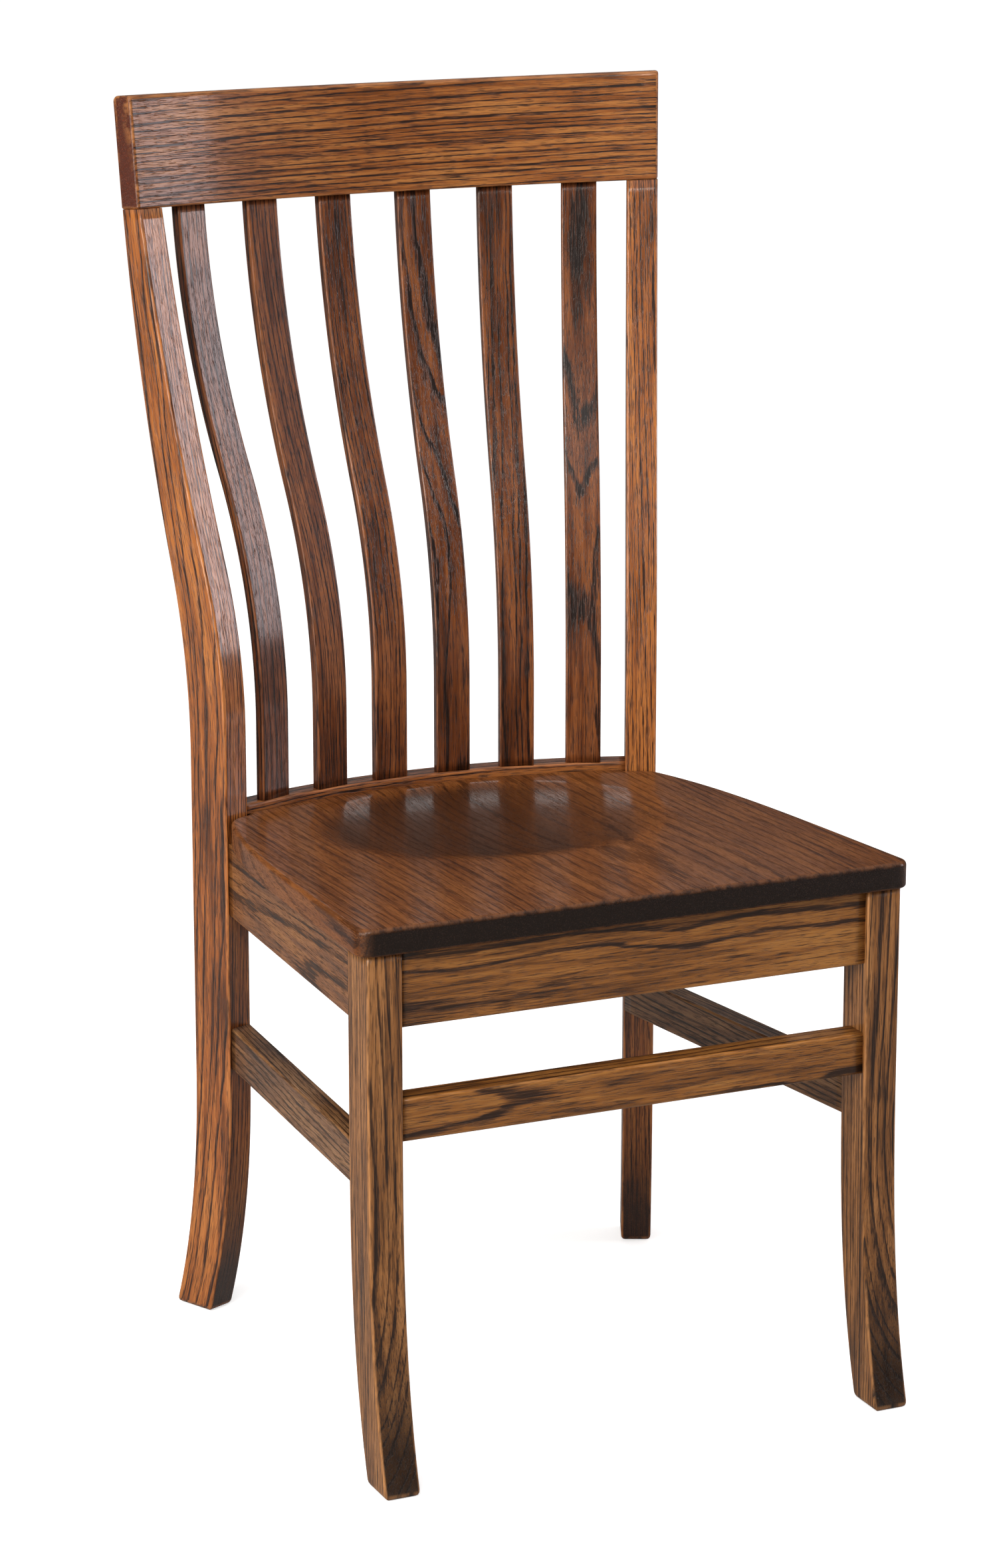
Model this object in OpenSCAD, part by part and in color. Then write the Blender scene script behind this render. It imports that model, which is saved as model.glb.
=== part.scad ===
// Dining chair with a fanned slat back, a scooped seat and swept front legs.
// Units are millimetres. +Z is up, the floor is z = 0 and the chair faces -Y.
// The origin is on the floor, at the centre of the chair's outline.

/* [Seat] */
// Height of the seat's top face at its front edge
seat_h = 459; // [400:1:500]
// Thickness of the seat plank
seat_t = 22; // [16:0.5:35]
// Fall of the seat towards the back, in degrees
seat_fall = 1.6; // [0:0.1:5]
// Half of the seat's width at the front
seat_half_front = 241; // [200:1:280]
// Half of the seat's width at the rear posts
seat_half_rear = 197; // [160:1:240]
// Radius of the seat's front corners in plan
seat_corner_r = 14; // [2:1:40]
// Depth of the scoop in the seat
scoop_depth = 6; // [0:0.5:12]
// Half length of the scoop from side to side
scoop_half_x = 158; // [80:1:200]
// Half length of the scoop from front to back
scoop_half_y = 132; // [80:1:180]
// Gap between the seat and the back frame
seat_gap = 1.5; // [0.5:0.1:4]

/* [Front legs] */
// Outer face of the front legs, from the centre line
leg_x = 233; // [180:1:280]
// Width of a front leg
leg_w = 30; // [20:0.5:50]
// Depth of a front leg
leg_d = 39.5; // [20:0.5:60]
// Front face of the legs, in front of the origin
leg_front = 260; // [200:1:320]
// Forward sweep at the foot
leg_sweep = 32; // [0:1:60]
// Height where the sweep starts
leg_sweep_h = 300; // [100:5:400]

/* [Rear posts] */
// Outer front corner of a post, from the centre line
post_x = 201; // [160:1:240]
// Outer front corner of a post, behind the origin
post_y = 120; // [80:1:180]
// Turn of the posts in plan, in degrees
post_turn = 24.6; // [0:0.1:40]
// Width of a post
post_w = 26.7; // [18:0.1:50]
// Depth of a post at the seat
post_d = 41.4; // [25:0.1:60]
// Backward sweep at the foot
post_sweep = 29; // [0:1:60]
// Height where the foot sweep starts
post_sweep_h = 230; // [100:5:350]

/* [Back slats] */
// Width of a slat
slat_w = 30.6; // [15:0.1:60]
// Thickness of a slat
slat_t = 9.3; // [6:0.1:20]
// Offset of the three slat pairs from the centre line
slat_x = [29, 86.4, 143.9];
// Turn of the three slat pairs in plan, in degrees
slat_turn = [4.4, 12.9, 21.8];
// Setback of the slats from the rear rail's front face
slat_setback = 1.2; // [0:0.1:6]

/* [Rear rail] */
// Top of the rear rail
rail_top = 454; // [400:1:500]
// Height of the rear rail
rail_h = 80; // [30:1:120]
// Thickness of the rear rail
rail_t = 22; // [12:0.5:40]
// Front radius of the rear rail in plan
rail_r = 515; // [300:5:900]
// Middle of the rear rail's front face, behind the origin
rail_y = 167; // [120:1:220]

/* [Crest rail] */
// Underside of the crest rail at its middle
crest_z = 946; // [850:1:1100]
// Height of the crest rail
crest_h = 93; // [40:1:140]
// Front radius of the crest rail
crest_r = 500; // [300:1:900]
// Middle of the crest rail's lower front edge, behind the origin
crest_y = 261; // [180:1:320]
// Thickness of the crest rail
crest_t = 21; // [15:0.5:40]
// Backward tilt of the crest rail, in degrees
crest_tilt = 5.6; // [0:0.1:15]

/* [Aprons and stretchers] */
// Setback of the front rails from the leg faces
rail_setback = 4; // [0:0.5:10]
// Lower edge of the front apron
apron_z = 375; // [330:1:420]
// Thickness of the aprons
apron_t = 20; // [14:0.5:30]
// Outer face of the side aprons at the front legs
side_x = 226.4; // [180:0.1:260]
// Turn of the side aprons in plan, in degrees
side_turn = 4.7; // [0:0.1:12]
// Lower edge of the side aprons at the front legs
side_apron_z = 372; // [330:1:420]
// Top of the front stretcher
front_str_top = 317; // [150:1:350]
// Height of the front stretcher
front_str_h = 35; // [20:0.5:60]
// Thickness of the front stretcher
front_str_t = 23.5; // [12:0.5:35]
// Top of the side stretchers at the front legs
side_str_top = 272.5; // [120:0.5:330]
// Height of the side stretchers
side_str_h = 36.5; // [20:0.5:60]
// Thickness of the side stretchers
side_str_t = 20; // [12:0.5:35]

/* [Joinery] */
// Thickness of the tenons
tenon_t = 8; // [5:0.5:12]
// Length of the rail tenons
tenon_l = 15; // [8:0.5:25]
// Shoulder above and below a tenon
tenon_shoulder = 7; // [3:0.5:15]
// Length of the slat tenons
slat_tenon_l = 12; // [6:0.5:20]
// Thickness of the slat tenons
slat_tenon_t = 6; // [4:0.5:9]
// Radius of the crest dowels
dowel_r = 5; // [3:0.5:6]
// Length of the crest dowels
dowel_l = 50; // [20:1:80]
// Leg length of a corner block
block_leg = 62; // [40:1:90]
// Height of a corner block
block_h = 38; // [20:1:60]
// Radius of a screw shank
screw_r = 2; // [1.5:0.1:3]
// Radius of a screw head
screw_head_r = 4; // [3:0.1:6]

/* [Hidden] */
$fn = 48;

oak = [0.45, 0.27, 0.15];
oak_hidden = [0.62, 0.45, 0.28];
steel = [0.6, 0.6, 0.62];

leg_back = -leg_front + leg_d;
apron_front = -leg_front + rail_setback;
rail_cy = rail_y - rail_r;
seat_front = -leg_front - 5;
seat_under_front = seat_h - seat_t / cos(seat_fall);
far = 700;
blank_top = 950;

// Bend of the three slat pairs: start height, lean, its height, lean at the top
slat_bend = [[532, 23.5, 704, 5.9], [520, 22.7, 706, 4.5], [520, 22.7, 730, 3.9]];

// Reach of a screw inside its block, its length and its head
screw_in_block = 14;
screw_l = 28;
screw_head_h = 3;

// Screws in the side aprons: distance back from the front legs, front pair and rear pair
screw_side_step = 22;
rear_side_step = 318;

// Screws in the rear rail: turn about the rail's centre, in degrees
rear_screw_turn = 15;

// Upper and lower rows of screws, below the seat's underside
block_high_step = 11;
block_low_step = 27;

// Middle of the scoop, the eased edges of the seat and crest rail, and the gap to the posts
scoop_y = 20;
seat_ease = 4;
ease_front = 4;
ease_back = 5;
post_gap = 2;

// Height of the seat's underside at a given y.
function seat_under(y) = seat_under_front - (y - seat_front) * tan(seat_fall);

// Height of the lower row of screws in the corner blocks.
function block_low_z(y) = seat_under(y) - block_low_step;

// Shape of a bent blank: straight up to z0, one arc until it leans a1 degrees at z1,
// then a reverse arc until it leans a2 degrees at z2.
function bend(z, z0, a1, z1, a2, z2) =
    let (r1 = (z1 - z0) / sin(a1))
    let (r2 = (z2 - z1) / (sin(a1) - sin(a2)))
    let (q = sin(a1) - (z - z1) / r2)
    z <= z0 ? 0
    : z <= z1 ? r1 - sqrt(r1 * r1 - (z - z0) * (z - z0))
    : r1 * (1 - cos(a1)) + r2 * (sqrt(1 - q * q) - cos(a1));

// Sweep of a foot, largest on the floor and zero at height h.
function foot(z, sweep, h, power) = z >= h ? 0 : sweep * pow(1 - z / h, power);

// Front and back edges of a rear post.
function post_front(z) = foot(z, post_sweep, post_sweep_h, 2.4) + bend(z, 518, 16.4, 659, 9.6, blank_top);
function post_back(z) = post_d + foot(z, post_sweep - 1, post_sweep_h, 2.4)
                        + bend(z, 497, 13.4, 656, 5.6, blank_top);

// Front edge of slat pair i.
function slat_front(i, z) =
    bend(z, slat_bend[i][0], slat_bend[i][1], slat_bend[i][2], slat_bend[i][3], blank_top);

// Underside of the tilted crest rail at a given y.
function crest_under(y) = crest_z - (y - crest_y) * tan(crest_tilt);

// Front face of slat pair i where it stands on the rear rail.
function slat_base_y(i) = rail_cy + sqrt(rail_r * rail_r - slat_x[i] * slat_x[i]) + slat_setback;

// Height of the crest rail's underside over slat pair i.
function slat_top(i) = crest_under(slat_base_y(i) + slat_front(i, crest_z) * cos(slat_turn[i]));

// Heights at which the bent profiles are sampled.
post_steps = concat([for (i = [0:8]) post_sweep_h * i / 8],
                    [for (i = [0:22]) 500 + (blank_top + 8 - 500) * i / 22]);
slat_steps = concat([rail_top], [for (i = [0:21]) 520 + (blank_top + 8 - 520) * i / 21]);
leg_steps = [for (i = [0:10]) leg_sweep_h * i / 10];

// Extrudes a [y, z] outline along X, centred on X = 0.
module plate(points, width) {
    rotate([90, 0, 90])
        linear_extrude(width, center = true)
            polygon(points);
}

// Outline between a front and a back edge, both listed upwards.
function between(front, back) = concat(front, [for (i = [len(back) - 1:-1:0]) back[i]]);

// Local frame of a rear post on the right: origin at the outer front corner,
// x inwards is negative, y points backwards.
module post_frame() {
    translate([post_x, post_y, 0])
        rotate([0, 0, -post_turn])
            children();
}

// Local frame of a slat on the right: origin at the middle of its front face.
module slat_frame(i) {
    translate([slat_x[i], slat_base_y(i), 0])
        rotate([0, 0, -slat_turn[i]])
            children();
}

// Everything below the seat's sloping underside.
module under_seat() {
    translate([0, seat_front, seat_under_front])
        rotate([-seat_fall, 0, 0])
            translate([-far / 2, -100, -far])
                cube([far, far, far]);
}

// Everything above the seat's sloping underside.
module over_seat() {
    translate([0, seat_front, seat_under_front])
        rotate([-seat_fall, 0, 0])
            translate([-far / 2, -100, 0])
                cube([far, far, 100]);
}

// Frame of the crest rail: origin at the middle of its lower front edge.
module crest_frame() {
    translate([0, crest_y, crest_z])
        rotate([-crest_tilt, 0, 0])
            children();
}

// Everything below the crest rail's tilted underside.
module under_crest() {
    crest_frame()
        translate([-far / 2, -far / 2, -2 * far])
            cube([far, far, 2 * far]);
}

// Space between the right front leg and the right rear post, lengthened by reach.
module side_bay(reach) {
    y_in = post_y + (reach + (post_x - 100) * sin(post_turn)) / cos(post_turn);
    y_out = post_y + (reach - (300 - post_x) * sin(post_turn)) / cos(post_turn);
    linear_extrude(far)
        polygon([[100, leg_back - reach], [300, leg_back - reach], [300, y_out], [100, y_in]]);
}

// A bar along the right side: outer face inset from the side line, z from low to high
// at the front leg, falling with the seat.
module side_bar(inset, thick, low, high) {
    translate([side_x, leg_back, 0])
        rotate([-seat_fall, 0, side_turn])
            translate([-inset - thick, -60, low])
                cube([thick, 460, high - low]);
}

// Tenon of a side rail, cut by the same bay as the mortises.
module side_tenon(thick, low, high) {
    intersection() {
        side_bar((thick - tenon_t) / 2, tenon_t, low, high);
        side_bay(tenon_l);
    }
}

module side_apron_tenon() {
    side_tenon(apron_t, side_apron_z + tenon_shoulder, seat_under_front - 12);
}

module side_stretcher_tenon() {
    side_tenon(side_str_t, side_str_top - side_str_h + tenon_shoulder, side_str_top - tenon_shoulder);
}

module side_apron() {
    intersection() {
        side_bar(0, apron_t, side_apron_z, seat_h);
        side_bay(0);
        under_seat();
    }
    side_apron_tenon();
}

module side_stretcher() {
    intersection() {
        side_bar(0, side_str_t, side_str_top - side_str_h, side_str_top);
        side_bay(0);
    }
    side_stretcher_tenon();
}

// Tenons of the front rails, one bar through both legs' mortises.
module front_tenon(thick, low, high) {
    half = leg_x - leg_w + tenon_l;
    translate([-half, apron_front + (thick - tenon_t) / 2, low])
        cube([2 * half, tenon_t, high - low]);
}

module front_apron_tenon() {
    front_tenon(apron_t, apron_z + tenon_shoulder, seat_under_front - 12);
}

module front_stretcher_tenon() {
    low = front_str_top - front_str_h + tenon_shoulder;
    front_tenon(front_str_t, low, front_str_top - tenon_shoulder);
}

// Tenon of the rear rail in the right post.
module rear_rail_tenon() {
    post_frame()
        translate([-post_w - 12, 16.5, rail_top - rail_h + tenon_shoulder])
            cube([12 + tenon_l, tenon_t, rail_h - 2 * tenon_shoulder - 4]);
}

// Everything on the middle's side of the right post's inner face.
module inside_post() {
    post_frame()
        translate([-post_w - far, -far / 2, 0])
            cube([far, far, far]);
}

// Curved band about the rear rail's centre.
module rear_band() {
    translate([0, rail_cy, rail_top - rail_h])
        intersection() {
            difference() {
                cylinder(h = rail_h, r = rail_r + rail_t, $fn = 360);
                translate([0, 0, -1])
                    cylinder(h = rail_h + 2, r = rail_r, $fn = 360);
            }
            translate([-230, 0, 0])
                cube([460, rail_r + rail_t + 10, rail_h]);
        }
}

module slat_tenon(i, low, shift) {
    slat_frame(i)
        translate([-slat_w / 2 + 4, shift + (slat_t - slat_tenon_t) / 2, low])
            cube([slat_w - 8, slat_tenon_t, slat_tenon_l]);
}

module slat_tenons(i) {
    slat_tenon(i, rail_top - slat_tenon_l, 0);
    slat_tenon(i, slat_top(i) - 3, slat_front(i, crest_z));
}

module slat(i) {
    intersection() {
        slat_frame(i)
            plate(between([for (z = slat_steps) [slat_front(i, z), z]],
                          [for (z = slat_steps) [slat_front(i, z) + slat_t, z]]), slat_w);
        under_crest();
    }
    slat_tenons(i);
}

module both_sides() {
    children();
    mirror([1, 0, 0])
        children();
}

// Dowel hole and dowel share one axis, on the middle of the post's top.
module crest_dowel_at() {
    post_frame()
        translate([-post_w / 2, (post_front(blank_top) + post_back(blank_top)) / 2, blank_top - dowel_l / 2])
            children();
}

module rear_post() {
    difference() {
        intersection() {
            post_frame()
                translate([-post_w / 2, 0, 0])
                    plate(between([for (z = post_steps) [post_front(z), z]],
                                  [for (z = post_steps) [post_back(z), z]]), post_w);
            under_crest();
        }
        side_apron_tenon();
        side_stretcher_tenon();
        rear_rail_tenon();
        crest_dowel_at()
            cylinder(h = dowel_l, r = dowel_r);
    }
}

module front_leg() {
    difference() {
        intersection() {
            translate([leg_x - leg_w / 2, -leg_front, 0])
                plate(between(concat([for (z = leg_steps) [-foot(z, leg_sweep - 1, leg_sweep_h, 3), z]],
                                     [[0, seat_h]]),
                              concat([for (z = leg_steps)
                                          [leg_d - foot(z, leg_sweep + 1, leg_sweep_h, 3), z]],
                                     [[leg_d, seat_h]])), leg_w);
            under_seat();
        }
        side_apron_tenon();
        side_stretcher_tenon();
        front_apron_tenon();
        front_stretcher_tenon();
    }
}

// Points of an arc about c, from a0 to a1 degrees.
function arc(c, r, a0, a1, steps = 6) =
    [for (i = [0:steps]) let (a = a0 + (a1 - a0) * i / steps) [c[0] + r * cos(a), c[1] + r * sin(a)]];

// Section of the crest rail, in depth and height, with its upper edges eased.
module crest_section() {
    polygon(concat([[0, 0], [crest_t, 0]],
                   arc([crest_t - ease_back, crest_h - ease_back], ease_back, 0, 90),
                   arc([ease_front, crest_h - ease_front], ease_front, 90, 180)));
}

module crest() {
    difference() {
        intersection() {
            crest_frame()
                translate([0, -crest_r, 0])
                    rotate([0, 0, 50])
                        rotate_extrude(angle = 80, $fn = 360)
                            translate([crest_r, 0])
                                crest_section();
            crest_side_trim();
            mirror([1, 0, 0])
                crest_side_trim();
        }
        both_sides()
            crest_dowel_at()
                cylinder(h = dowel_l, r = dowel_r);
        both_sides()
            for (i = [0:2])
                slat_tenon(i, slat_top(i) - 3, slat_front(i, crest_z));
    }
}

// The crest rail ends flush with the post's outer face.
module crest_side_trim() {
    post_frame()
        translate([-far, -far, crest_z - 50])
            cube([far, 2 * far, 2 * crest_h]);
}

// A screw along +Z: head below z = 0, shank above.
module screw() {
    cylinder(h = screw_l, r = screw_r);
    translate([0, 0, -screw_head_h])
        cylinder(h = screw_head_h, r = screw_head_r);
}

// The hole a screw needs: shank bore and a pocket for its head and driver.
module screw_space() {
    cylinder(h = screw_l, r = screw_r);
    translate([0, 0, -block_leg])
        cylinder(h = block_leg, r = screw_head_r);
}

// Places a screw that goes outwards into the side apron, y back from the front leg.
module side_screw_at(y, low) {
    translate([side_x, leg_back, seat_under(leg_back)])
        rotate([-seat_fall, 0, side_turn])
            translate([-apron_t - screw_in_block, y, -low])
                rotate([0, 90, 0])
                    children();
}

// Places a screw that goes forwards into the front apron.
module front_screw_at() {
    y = apron_front + apron_t + screw_in_block;
    translate([leg_x - leg_w - screw_side_step, y, block_low_z(leg_back)])
        rotate([90, 0, 0])
            children();
}

// Places a screw that goes backwards into the rear rail, square to its curve.
module rear_screw_at() {
    translate([0, rail_cy, block_low_z(post_y)])
        rotate([0, 0, -rear_screw_turn])
            translate([0, rail_r - screw_in_block, 0])
                rotate([-90, 0, 0])
                    children();
}

// Places a screw that goes up through a block into the seat.
module seat_screw_at(x, y) {
    translate([x, y, seat_under(y) - screw_in_block])
        children();
}

// Every screw on the right-hand side, aprons first, then the seat.
module apron_screws_right() {
    side_screw_at(screw_side_step, block_high_step)
        children();
    side_screw_at(rear_side_step, block_high_step)
        children();
    front_screw_at()
        children();
    rear_screw_at()
        children();
}

module seat_screws_right() {
    seat_screw_at(leg_x - leg_w - 40, apron_front + apron_t + 10)
        children();
    seat_screw_at(150, post_y + 8)
        children();
}

// Slab that holds the corner blocks, hung from the seat's underside.
module block_slab() {
    translate([0, seat_front, seat_under_front])
        rotate([-seat_fall, 0, 0])
            translate([-far / 2, -100, -block_h])
                cube([far, far, block_h]);
}

// Front right corner block, notched clear of the leg.
module front_block() {
    corner_y = apron_front + apron_t;
    inner_x = leg_x - leg_w;
    difference() {
        intersection() {
            block_slab();
            side_bar(apron_t, far / 3, 0, far);
            translate([inner_x - block_leg, corner_y, 0])
                linear_extrude(far)
                    polygon([[0, 0], [far, 0], [far, far]]);
        }
        translate([inner_x - 1, corner_y - 1, 0])
            cube([leg_w, leg_back - corner_y + 2, far]);
        apron_screws_right()
            screw_space();
        seat_screws_right()
            screw_space();
    }
}

// Rear right corner block, notched clear of the post.
module rear_block() {
    inner_cut = post_x + post_y - 68;
    difference() {
        intersection() {
            block_slab();
            side_bar(apron_t, far / 3, 0, far);
            translate([0, rail_cy, 0])
                cylinder(h = far, r = rail_r, $fn = 360);
            linear_extrude(far)
                polygon([[inner_cut - far, far], [inner_cut, 0], [far, 0], [far, far]]);
        }
        post_frame()
            translate([-post_w - 1, -1, 0])
                cube([post_w + 20, post_d, far]);
        apron_screws_right()
            screw_space();
        seat_screws_right()
            screw_space();
    }
}

module crest_dowel() {
    crest_dowel_at()
        cylinder(h = dowel_l, r = dowel_r);
}

// Half width of the seat, t running from 0 at the front to 1 at the rear posts.
function seat_side(t) = seat_half_front - (seat_half_front - seat_half_rear) * (t + pow(t, 5)) / 2;

// Right half of the seat's outline, from the front middle to the rear rail.
function seat_right() =
    let (y_end = post_y + (post_x - seat_half_rear) * tan(post_turn) - post_gap / cos(post_turn))
    let (y_corner = seat_front + seat_corner_r)
    let (length = y_end - seat_front)
    let (x_corner = seat_side(seat_corner_r / length) - seat_corner_r)
    let (x_in = post_x - post_w * cos(post_turn) - 1)
    let (y_in = post_y + (post_x - x_in) * tan(post_turn) - post_gap / cos(post_turn))
    concat(arc([x_corner, y_corner], seat_corner_r, -90, 0, 8),
           [for (i = [1:20])
                let (y = y_corner + (y_end - y_corner) * i / 20)
                [seat_side((y - seat_front) / length), y]],
           [[x_in, y_in]]);

function flip(points) = [for (i = [len(points) - 1:-1:0]) [-points[i][0], points[i][1]]];

module seat_plank() {
    rear_x = post_x - post_w * cos(post_turn) - 2.5;
    rear_r = rail_r - seat_gap;
    rear_a = asin(rear_x / rear_r);
    translate([0, seat_front, seat_h])
        rotate([-seat_fall, 0, 0])
            translate([0, -seat_front, -seat_t])
                difference() {
                    linear_extrude(seat_t)
                        polygon(concat(seat_right(),
                                       arc([0, rail_cy], rear_r, 90 - rear_a, 90 + rear_a, 24),
                                       flip(seat_right())));
                    seat_scoop();
                    seat_front_ease();
                }
}

// Shallow dish, a little wider than it is long, cut by a band of a large ring.
module seat_scoop() {
    ring = scoop_half_y * scoop_half_y / (2 * scoop_depth);
    tube = scoop_half_x * scoop_half_x / (2 * scoop_depth);
    translate([0, scoop_y, seat_t - scoop_depth + ring])
        rotate([0, 90, 0])
            rotate([0, 0, -8])
                rotate_extrude(angle = 16, $fn = 720)
                    intersection() {
                        translate([ring - tube, 0])
                            circle(tube, $fn = 720);
                        translate([ring - 40, -200])
                            square([50, 400]);
                    }
}

// Rounds the seat's long front edges.
module seat_front_ease() {
    for (top = [0, 1])
        translate([0, seat_front, top * seat_t])
            mirror([0, 0, top])
                rotate([90, 0, 90])
                    linear_extrude(far, center = true)
                        difference() {
                            translate([-1, -1])
                                square([seat_ease + 1, seat_ease + 1]);
                            translate([seat_ease, seat_ease])
                                circle(seat_ease, $fn = 48);
                        }
}

module rear_rail_body() {
    difference() {
        intersection() {
            rear_band();
            inside_post();
            mirror([1, 0, 0])
                inside_post();
        }
        both_sides()
            for (i = [0:2])
                slat_tenon(i, rail_top - slat_tenon_l, 0);
        both_sides()
            rear_screw_at()
                screw_space();
    }
    both_sides()
        rear_rail_tenon();
}

module left_rear_post() {
    color(oak)
        mirror([1, 0, 0])
            rear_post();
}

module right_rear_post() {
    color(oak)
        rear_post();
}

module crest_rail() {
    color(oak)
        crest();
}

// Slats are numbered from left to right as seen from the front.
module back_slat_1() {
    color(oak)
        mirror([1, 0, 0])
            slat(2);
}

module back_slat_2() {
    color(oak)
        mirror([1, 0, 0])
            slat(1);
}

module back_slat_3() {
    color(oak)
        mirror([1, 0, 0])
            slat(0);
}

module back_slat_4() {
    color(oak)
        slat(0);
}

module back_slat_5() {
    color(oak)
        slat(1);
}

module back_slat_6() {
    color(oak)
        slat(2);
}

module rear_rail() {
    color(oak)
        rear_rail_body();
}

module seat() {
    color(oak)
        difference() {
            seat_plank();
            both_sides()
                seat_screws_right()
                    cylinder(h = screw_l, r = screw_r);
        }
}

module left_front_leg() {
    color(oak)
        mirror([1, 0, 0])
            front_leg();
}

module right_front_leg() {
    color(oak)
        front_leg();
}

module front_apron() {
    half = leg_x - leg_w;
    color(oak)
        difference() {
            union() {
                intersection() {
                    translate([-half, apron_front, apron_z])
                        cube([2 * half, apron_t, seat_h - apron_z]);
                    under_seat();
                }
                front_apron_tenon();
            }
            both_sides()
                front_screw_at()
                    screw_space();
        }
}

module right_apron_bored() {
    difference() {
        side_apron();
        side_screw_at(screw_side_step, block_high_step)
            screw_space();
        side_screw_at(rear_side_step, block_high_step)
            screw_space();
    }
}

module left_side_apron() {
    color(oak)
        mirror([1, 0, 0])
            right_apron_bored();
}

module right_side_apron() {
    color(oak)
        right_apron_bored();
}

module front_stretcher() {
    half = leg_x - leg_w;
    color(oak) {
        translate([-half, apron_front, front_str_top - front_str_h])
            cube([2 * half, front_str_t, front_str_h]);
        front_stretcher_tenon();
    }
}

module left_side_stretcher() {
    color(oak)
        mirror([1, 0, 0])
            side_stretcher();
}

module right_side_stretcher() {
    color(oak)
        side_stretcher();
}

module corner_block_front_left() {
    color(oak_hidden)
        mirror([1, 0, 0])
            front_block();
}

module corner_block_front_right() {
    color(oak_hidden)
        front_block();
}

module corner_block_rear_left() {
    color(oak_hidden)
        mirror([1, 0, 0])
            rear_block();
}

module corner_block_rear_right() {
    color(oak_hidden)
        rear_block();
}

module corner_block_screws() {
    color(steel)
        both_sides()
            apron_screws_right()
                screw();
}

module seat_screws() {
    color(steel)
        both_sides()
            seat_screws_right()
                screw();
}

module crest_dowels() {
    color(oak_hidden)
        both_sides()
            crest_dowel();
}

left_rear_post();
right_rear_post();
crest_rail();
back_slat_1();
back_slat_2();
back_slat_3();
back_slat_4();
back_slat_5();
back_slat_6();
rear_rail();
seat();
left_front_leg();
right_front_leg();
front_apron();
left_side_apron();
right_side_apron();
front_stretcher();
left_side_stretcher();
right_side_stretcher();
corner_block_front_left();
corner_block_front_right();
corner_block_rear_left();
corner_block_rear_right();
corner_block_screws();
seat_screws();
crest_dowels();
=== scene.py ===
import math

import bpy
import numpy as np
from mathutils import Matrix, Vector


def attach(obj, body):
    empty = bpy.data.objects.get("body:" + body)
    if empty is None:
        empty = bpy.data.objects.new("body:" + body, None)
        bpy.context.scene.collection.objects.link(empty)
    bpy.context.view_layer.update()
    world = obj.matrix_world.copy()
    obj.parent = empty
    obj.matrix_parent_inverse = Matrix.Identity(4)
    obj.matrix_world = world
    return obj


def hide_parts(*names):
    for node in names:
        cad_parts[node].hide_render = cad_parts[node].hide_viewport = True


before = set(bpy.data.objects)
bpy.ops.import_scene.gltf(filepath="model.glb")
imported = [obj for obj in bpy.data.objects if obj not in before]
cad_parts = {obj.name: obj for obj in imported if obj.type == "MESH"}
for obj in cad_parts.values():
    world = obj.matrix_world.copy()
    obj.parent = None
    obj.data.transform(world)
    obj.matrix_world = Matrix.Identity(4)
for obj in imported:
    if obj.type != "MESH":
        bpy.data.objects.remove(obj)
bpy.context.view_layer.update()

# Sizes are in millimetres, in the CAD's frame, and become metres when a mesh is made.
MM = 0.001

# Seat
SEAT_H = 459.0                  # top face at the front edge
SEAT_T = 22.0
SEAT_FALL = math.radians(1.6)
SEAT_FRONT = -265.0
SEAT_HALF_FRONT = 241.0
SEAT_HALF_REAR = 197.0
SEAT_CORNER_R = 14.0            # front corners
SEAT_REAR_EASE = 11.0           # rear corners, along each side
SEAT_ROUND = 4.0
SEAT_UNDER_ROUND = 2.0
SEAT_LEAD = 0.6                 # flat strip next to each rounded edge
SEAT_MIDDLE = (0.0, -60.0)      # where the rings of the top and the underside shrink to
SEAT_HEART = (0.0, 60.0, SEAT_H - 90.0)
SCOOP_DEPTH = 6.0
SCOOP_HALF = (158.0, 132.0)
SCOOP_Y = 20.0
SCOOP_POWER = 3.0
SCOOP_EASE = 0.3

# Painted shade in the hollow: its rim and the width it fades over, as parts of the hollow's
# radius, then where it starts to fade to the right, over what width, and the least left
PAINTED_SHADE_RIM = 1.02
PAINTED_SHADE_SOFT = 0.22
PAINTED_SHADE_FADE_X = 30.0
PAINTED_SHADE_FADE_W = 150.0
PAINTED_SHADE_LEAST = 0.25

# Front legs. A sweep is that of the front and of the back, on the floor.
LEG_X = 233.0                   # outer face
LEG_W = 30.0
LEG_FRONT = -260.0
LEG_BACK = LEG_FRONT + 39.5
LEG_SWEEP = (31.0, 33.0)
LEG_SWEEP_H = 300.0
LEG_SWEEP_POWER = 3

# Rear posts. The bends are what bend() takes after the height.
POST_X = 201.0                  # outer front corner
POST_Y = 120.0
POST_TURN = math.radians(24.6)
POST_W = 26.7
POST_D = 41.4
POST_SWEEP = (29.0, 28.0)
POST_SWEEP_H = 230.0
POST_SWEEP_POWER = 2.4
POST_FRONT_BEND = (518, 16.4, 659, 9.6)
POST_BACK_BEND = (497, 13.4, 656, 5.6)
BLANK_TOP = 950.0

# Painted shade on the swept feet, laid on with the end-grain colour: the slope where it starts,
# how much more slope brings it to its most, and that most
FOOT_SHADE_FROM = 0.06
FOOT_SHADE_OVER = 0.18
FOOT_SHADE_MOST = 0.92

# Back slats: offset from the middle, turn in plan and bend of each pair
SLAT_W = 30.6
SLAT_T = 9.3
SLAT_SETBACK = 1.2
SLATS = [
    (29.0, 4.4, (532, 23.5, 704, 5.9)),
    (86.4, 12.9, (520, 22.7, 706, 4.5)),
    (143.9, 21.8, (520, 22.7, 730, 3.9)),
]
# Heart of the tree from the middle of each slat, left to right
SLAT_PITH = [(60, 35), (45, -50), (-70, 30), (25, 45), (-50, 40), (6, 42)]
SLAT_RUN_OUT = 0.8              # how much of the bend is sawn rather than followed by the grain

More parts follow.
